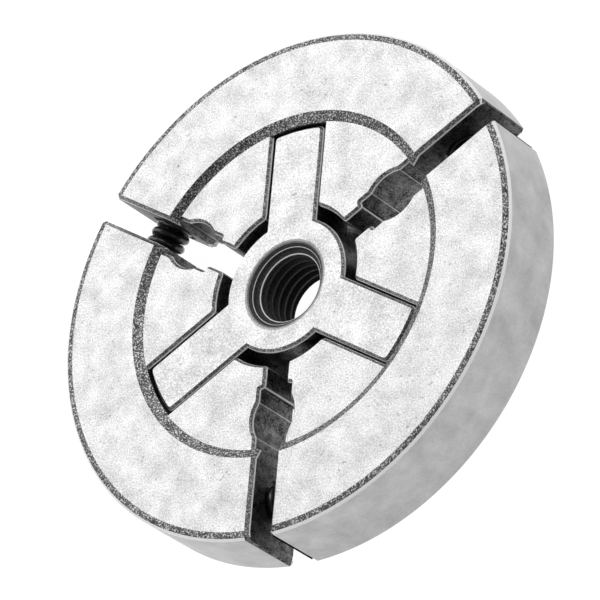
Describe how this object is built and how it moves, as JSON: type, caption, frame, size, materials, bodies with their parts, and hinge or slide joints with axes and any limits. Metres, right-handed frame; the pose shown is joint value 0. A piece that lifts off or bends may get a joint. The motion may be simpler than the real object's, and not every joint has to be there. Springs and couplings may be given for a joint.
{
  "type": "centrifugal clutch",
  "caption": "Flat round centrifugal clutch: a threaded three-armed hub carries sliding friction shoes with wide rims, held in by small extension springs across the gaps.",
  "frame": {"origin": "on the bore axis, in the plane of the shoes' back faces, on which the part lies", "axes": "+Z along the bore axis, towards the front, where the thread has its wide lead-in; shoe 1's arm points along +Y"},
  "size_m": [0.065, 0.065, 0.0094],
  "materials": {
    "hub_steel": "sintered steel, blasted, fine speckle",
    "shoe_steel": "sintered steel, blasted faces and a smooth satin rim",
    "spring_steel": "oil-tempered wire, nearly black, slight gloss"
  },
  "bodies": {
    "hub": {"spider_hub": "hub_steel"},
    "shoe_1": {"shoe_1": "shoe_steel"},
    "shoe_2": {"shoe_2": "shoe_steel"},
    "shoe_3": {"shoe_3": "shoe_steel"},
    "spring_1": {"spring_1": "spring_steel"},
    "spring_2": {"spring_2": "spring_steel"},
    "spring_3": {"spring_3": "spring_steel"}
  },
  "joints": [
    {"name": "shoe_1_slide", "type": "slide", "parent": "hub", "child": "shoe_1", "axis": [0, 1, 0], "range_m": [0, 0.0015], "stiffness_N_per_m": 10000, "springref_m": -0.001},
    {"name": "shoe_2_slide", "type": "slide", "parent": "hub", "child": "shoe_2", "axis": [-0.866, -0.5, 0], "range_m": [0, 0.0015], "stiffness_N_per_m": 10000, "springref_m": -0.001},
    {"name": "shoe_3_slide", "type": "slide", "parent": "hub", "child": "shoe_3", "axis": [0.866, -0.5, 0], "range_m": [0, 0.0015], "stiffness_N_per_m": 10000, "springref_m": -0.001},
    {"name": "spring_1_stretch", "type": "slide", "parent": "shoe_1", "child": "spring_1", "axis": [-0.5, -0.866, 0], "range_m": [0, 0.0026], "deforming": ["spring_1"]},
    {"name": "spring_2_stretch", "type": "slide", "parent": "shoe_2", "child": "spring_2", "axis": [1, 0, 0], "range_m": [0, 0.0026], "deforming": ["spring_2"]},
    {"name": "spring_3_stretch", "type": "slide", "parent": "shoe_3", "child": "spring_3", "axis": [-0.5, 0.866, 0], "range_m": [0, 0.0026], "deforming": ["spring_3"]}
  ],
  "couplings": [
    {"joint": "shoe_2_slide", "follows": "shoe_1_slide", "ratio": 1},
    {"joint": "shoe_3_slide", "follows": "shoe_1_slide", "ratio": 1},
    {"joint": "spring_1_stretch", "follows": "shoe_1_slide", "ratio": 1.7321},
    {"joint": "spring_2_stretch", "follows": "shoe_1_slide", "ratio": 1.7321},
    {"joint": "spring_3_stretch", "follows": "shoe_1_slide", "ratio": 1.7321}
  ]
}
